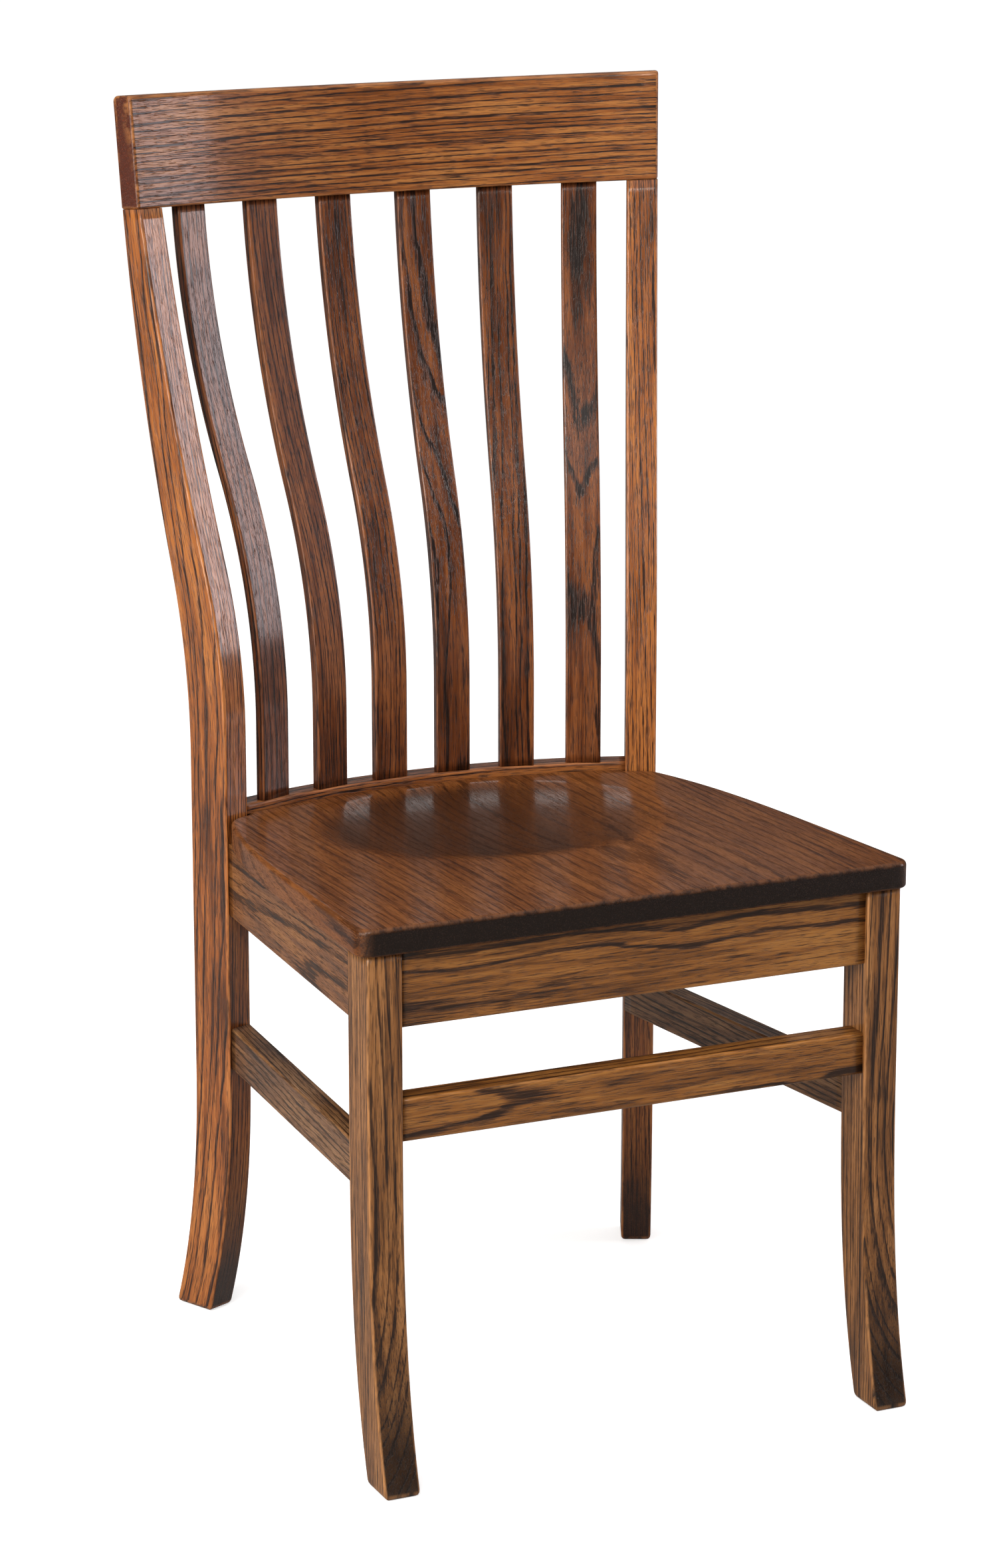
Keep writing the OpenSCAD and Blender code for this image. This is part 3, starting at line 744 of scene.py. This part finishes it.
        # Rubbed edges: paler where the finish has worn, and along the rounded arrises a painted
        # highlight.
        arris = g.node("ShaderNodeAttribute", attribute_name="arris").outputs["Fac"]
        rub_and_highlight = g.step(g.noise(spot, (30, 120, 120), 3.0, 0.6), 0.36, 0.62)
        rub_and_highlight = g.math("MULTIPLY", rub_and_highlight, g.math("MULTIPLY", arris, wear_and_highlight))
        colour = g.mix(rub_and_highlight, colour, shade(linear(light), 1.5, 0.015))

    height = g.math("SUBTRACT", g.math("MULTIPLY", coarse, 0.3), pore)
    normal = g.node("ShaderNodeBump", {"Height": height, "Strength": 0.6, "Distance": 0.0004}).outputs[0]
    # The varnish sinks a little into the open pores, which breaks up its reflections.
    skin = g.node("ShaderNodeBump", {"Height": height, "Strength": 0.35, "Distance": 0.0004}).outputs[0]
    shader = g.node("ShaderNodeBsdfPrincipled", {
        "Base Color": colour, "Roughness": rough, "Normal": normal, "IOR": 1.48,
        "Specular IOR Level": gloss, "Coat Weight": coat, "Coat Roughness": 0.12, "Coat IOR": 1.5,
        "Coat Normal": skin})
    g.node("ShaderNodeOutputMaterial", {"Surface": shader.outputs[0]})
    return g.material


def steel():
    """Zinc-plated screw steel, cloudy and finely scratched."""
    g = Graph("screw_steel")
    spot = g.node("ShaderNodeTexCoord").outputs["Object"]
    cloud = g.noise(spot, (240, 240, 240), 4.0, 0.6)
    scratch = g.noise(spot, (300, 300, 5200), 2.0, 0.5)
    colour = g.mix(g.step(cloud, 0.35, 0.7), linear((150, 150, 146)), linear((190, 188, 180)))
    rough = g.math("ADD", 0.25, g.math("MULTIPLY", cloud, 0.25))
    normal = g.node("ShaderNodeBump", {"Height": scratch, "Strength": 0.2, "Distance": 0.0001}).outputs[0]
    shader = g.node("ShaderNodeBsdfPrincipled", {
        "Base Color": colour, "Roughness": rough, "Normal": normal, "Metallic": 1.0})
    g.node("ShaderNodeOutputMaterial", {"Surface": shader.outputs[0]})
    return g.material


def clothe(nodes, material):
    """Gives the hidden CAD nodes, which stay as they are, their finished material."""
    for node in nodes:
        for slot in bpy.data.objects[node].material_slots:
            slot.material = material


# ------------------------------------------------------------------ the set

def softbox(name, location, target, size, power, colour=(1, 1, 1)):
    """A rectangular light that faces its target."""
    light = bpy.data.lights.new(name, "AREA")
    light.shape = "RECTANGLE"
    light.size, light.size_y = size
    light.energy = power
    light.color = colour
    holder = bpy.data.objects.new(name, light)
    holder.location = location
    holder.rotation_euler = (Vector(target) - Vector(location)).to_track_quat("-Z", "Y").to_euler()
    bpy.context.scene.collection.objects.link(holder)


def floor_material():
    """Pale matt floor. It looks white but sends little light back up, like a floor with
    black flags round the object, so the varnish doesn't turn milky."""
    g = Graph("studio_floor")
    spot = g.node("ShaderNodeTexCoord").outputs["Object"]
    mottle = g.noise(spot, (3, 3, 3), 3.0, 0.5)
    colour = g.mix(mottle, (0.86, 0.86, 0.86, 1), (0.90, 0.90, 0.90, 1))
    pale = g.node("ShaderNodeBsdfPrincipled", {
        "Base Color": colour, "Roughness": 0.9, "Specular IOR Level": 0.1,
        "Emission Color": (1, 1, 1, 1), "Emission Strength": FLOOR_GLOW})
    flag = g.node("ShaderNodeBsdfDiffuse", {"Color": (*[FLOOR_RETURN] * 3, 1)})
    seen = g.node("ShaderNodeLightPath").outputs["Is Camera Ray"]
    either = g.node("ShaderNodeMixShader", {0: seen, 1: flag.outputs[0], 2: pale.outputs[0]})
    g.node("ShaderNodeOutputMaterial", {"Surface": either.outputs[0]})
    return g.material


def studio():
    mesh = bpy.data.meshes.new("studio_floor")
    corners = ((-1, -1), (1, -1), (1, 1), (-1, 1))
    mesh.from_pydata([(x * FLOOR_REACH, y * FLOOR_REACH, 0) for x, y in corners], [], [(0, 1, 2, 3)])
    mesh.materials.append(floor_material())
    floor = bpy.data.objects.new("studio_floor", mesh)
    bpy.context.scene.collection.objects.link(floor)

    # A sky that is dark at the horizon and bright overhead.
    world = bpy.data.worlds.new("studio_light")
    world.use_nodes = True
    nodes, links = world.node_tree.nodes, world.node_tree.links
    height = nodes.new("ShaderNodeSeparateXYZ")
    links.new(nodes.new("ShaderNodeTexCoord").outputs["Generated"], height.inputs[0])
    level = nodes.new("ShaderNodeMapRange")
    links.new(height.outputs["Z"], level.inputs["Value"])
    level.inputs["From Min"].default_value = SKY_FROM
    level.inputs["To Min"].default_value = SKY_LOW
    level.inputs["To Max"].default_value = SKY_TOP
    # Seen directly, the sky is as pale as the floor.
    shown = nodes.new("ShaderNodeMix")
    links.new(nodes.new("ShaderNodeLightPath").outputs["Is Camera Ray"], shown.inputs["Factor"])
    links.new(level.outputs[0], shown.inputs["A"])
    shown.inputs["B"].default_value = 1.0
    links.new(shown.outputs[0], nodes["Background"].inputs["Strength"])
    nodes["Background"].inputs["Color"].default_value = (1.0, 0.99, 0.98, 1)
    bpy.context.scene.world = world

    softbox("left_panel", (-2.6, -0.9, 1.05), (0, 0, 0.5), (2.2, 1.9), 62, (1.0, 0.95, 0.88))
    softbox("front_panel", (-2.0, -2.3, 3.0), (0, 0, 0.5), (2.0, 1.4), 80, (1.0, 0.96, 0.91))
    softbox("right_panel", (2.55, -0.95, 1.25), (0, 0.1, 0.8), (0.9, 1.5), 26, (1.0, 0.93, 0.98))
    softbox("back_panel", (1.05, 2.9, 1.46), (0, 0, 0.45), (1.45, 0.26), 1.3)


def camera():
    lens = bpy.data.cameras.new("camera")
    lens.lens = 104.4
    lens.sensor_width = 36.0
    lens.sensor_fit = "AUTO"
    lens.shift_x = -0.001
    lens.clip_end = 100.0
    view = bpy.data.objects.new("camera", lens)
    view.location = (-1.5136, -3.3224, 1.4483)
    view.rotation_euler = (math.radians(75.23), 0.0, math.radians(-24.45))
    bpy.context.scene.collection.objects.link(view)
    bpy.context.scene.camera = view


camera()
studio()
bpy.context.scene.view_settings.view_transform = "Standard"

crest_wood = wood("crest_wood", (68, 35, 15), (144, 84, 40), (176, 115, 60), (76, 32, 16),
                  bands=210, wander=0.006, patches=0.8)
# post_wood's end colour also lays the painted shade on the swept feet.
post_wood = wood("post_wood", (84, 43, 17), (158, 90, 41), (188, 117, 58), (42, 24, 15),
                 bands=300, wander=0.010, early=0.8, gloss=0.3, coat=0.85)
slat_wood = wood("slat_wood", (48, 23, 11), (104, 55, 27), (142, 84, 45), (36, 21, 13),
                 bands=270, coat=0.55)
rail_wood = wood("rail_wood", (64, 32, 14), (130, 73, 34), (160, 98, 51), (46, 27, 16),
                 bands=240, wander=0.008)
# seat_wood adds the painted shade in the seat's hollow.
seat_wood = wood("seat_wood", (70, 36, 15), (116, 66, 30), (136, 82, 40), (27, 17, 11),
                 bands=150, wander=0.014, early=0.25, patches=0.7, pores=0.55, roughness=0.3,
                 gloss=0.06, coat=0.45, wear_and_highlight=0.22, hollow=True)
apron_wood = wood("apron_wood", (68, 38, 15), (144, 90, 38), (172, 116, 56), (40, 26, 16),
                  bands=110, wander=0.018, early=1.2, patches=0.9, pores=0.74)
side_wood = wood("side_wood", (68, 39, 17), (128, 78, 37), (154, 101, 53), (40, 26, 16),
                 bands=200, wander=0.008, early=0.6, patches=0.7, pores=0.8)
# leg_wood's end colour also lays the painted shade on the fronts of the feet.
leg_wood = wood("leg_wood", (68, 40, 19), (142, 92, 48), (174, 120, 70), (24, 15, 10),
                bands=290, wander=0.006, patches=0.8, pores=0.78)
stretcher_wood = wood("stretcher_wood", (62, 38, 20), (118, 78, 44), (148, 106, 67), (38, 26, 17),
                      bands=260, wander=0.008, patches=0.7, pores=0.8)
hidden_wood = wood("hidden_wood", (104, 70, 38), (150, 108, 64), (180, 136, 88), (90, 60, 34),
                   bands=200, pores=0.5, roughness=0.6, coat=0.0, object_space=True)

rear_posts(post_wood)
front_legs(leg_wood)
back_slats(slat_wood)
rear_rail(rail_wood)
crest_rail(crest_wood)
side_bars(side_wood, stretcher_wood)
front_bars(apron_wood, apron_wood)
seat(seat_wood)
clothe(["corner_block_front_left", "corner_block_front_right", "corner_block_rear_left",
        "corner_block_rear_right", "crest_dowels"], hidden_wood)
clothe(["corner_block_screws", "seat_screws"], steel())
